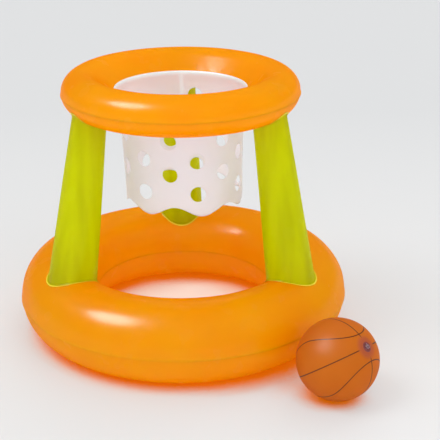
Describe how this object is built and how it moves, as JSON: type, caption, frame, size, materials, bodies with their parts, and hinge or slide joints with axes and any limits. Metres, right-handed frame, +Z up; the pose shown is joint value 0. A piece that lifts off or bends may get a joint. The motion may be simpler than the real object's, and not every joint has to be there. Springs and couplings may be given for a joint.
{
  "type": "poolside basketball hoop",
  "caption": "Inflatable pool basketball hoop: wide base ring, leaning pillars, smaller hoop ring with a hanging perforated vinyl net, and a small inflatable ball.",
  "frame": {"origin": "on the ground, in the middle of the footprint of the hoop and its ball", "axes": "+Z up; +Y towards the back pillar; +X to the right as seen from the front, where the ball lies"},
  "size_m": [0.698, 0.7349, 0.5325],
  "materials": {
    "orange_film": "glossy calendered vinyl film",
    "lime_film": "glossy calendered vinyl film",
    "milky_film": "translucent vinyl film, punched",
    "ball_film": "satin printed vinyl film",
    "clear_vinyl": "clear moulded soft vinyl"
  },
  "bodies": {
    "hoop": {"base_ring_top_skin": "orange_film", "base_ring_bottom_skin": "orange_film", "base_valve_flange": "clear_vinyl", "hoop_ring_top_skin": "orange_film", "hoop_ring_bottom_skin": "orange_film", "hoop_valve_flange": "clear_vinyl", "net_sleeve": "milky_film", "pillar_back_sleeve": "lime_film", "pillar_back_foot_disc": "lime_film", "pillar_back_head_disc": "lime_film", "pillar_left_sleeve": "lime_film", "pillar_left_foot_disc": "lime_film", "pillar_left_head_disc": "lime_film", "pillar_right_sleeve": "lime_film", "pillar_right_foot_disc": "lime_film", "pillar_right_head_disc": "lime_film"},
    "base_stem": {"base_valve_stem": "clear_vinyl", "base_valve_flap": "clear_vinyl"},
    "base_plug": {"base_valve_plug": "clear_vinyl"},
    "hoop_stem": {"hoop_valve_stem": "clear_vinyl", "hoop_valve_flap": "clear_vinyl"},
    "hoop_plug": {"hoop_valve_plug": "clear_vinyl"},
    "ball": {"ball_skin": "ball_film", "ball_valve_flange": "clear_vinyl"},
    "ball_stem": {"ball_valve_stem": "clear_vinyl", "ball_valve_flap": "clear_vinyl"},
    "ball_plug": {"ball_valve_plug": "clear_vinyl"}
  },
  "joints": [
    {"name": "base_stem_travel", "type": "slide", "parent": "hoop", "child": "base_stem", "axis": [-0.6968, 0.4023, 0.5939], "range_m": [0, 0.008]},
    {"name": "base_plug_swing", "type": "hinge", "parent": "base_stem", "child": "base_plug", "pos_m": [-0.28321, 0.1879, 0.13603], "axis": [0.5, 0.866, 0], "range_deg": [0, 150]},
    {"name": "hoop_stem_travel", "type": "slide", "parent": "hoop", "child": "hoop_stem", "axis": [0.4274, 0.7402, 0.5191], "range_m": [0, 0.008]},
    {"name": "hoop_plug_swing", "type": "hinge", "parent": "hoop_stem", "child": "hoop_plug", "pos_m": [0.09757, 0.22594, 0.52247], "axis": [0.866, -0.5, 0], "range_deg": [0, 150]},
    {"name": "ball_lift", "type": "slide", "parent": "hoop", "child": "ball", "axis": [0, 0, 1], "range_m": [0, 0.4]},
    {"name": "ball_stem_travel", "type": "slide", "parent": "ball", "child": "ball_stem", "axis": [0.6133, -0.5164, 0.5976], "range_m": [0, 0.006]},
    {"name": "ball_plug_swing", "type": "hinge", "parent": "ball_stem", "child": "ball_plug", "pos_m": [0.3176, -0.329, 0.12756], "axis": [-0.6441, -0.7649, 0], "range_deg": [0, 150]}
  ]
}
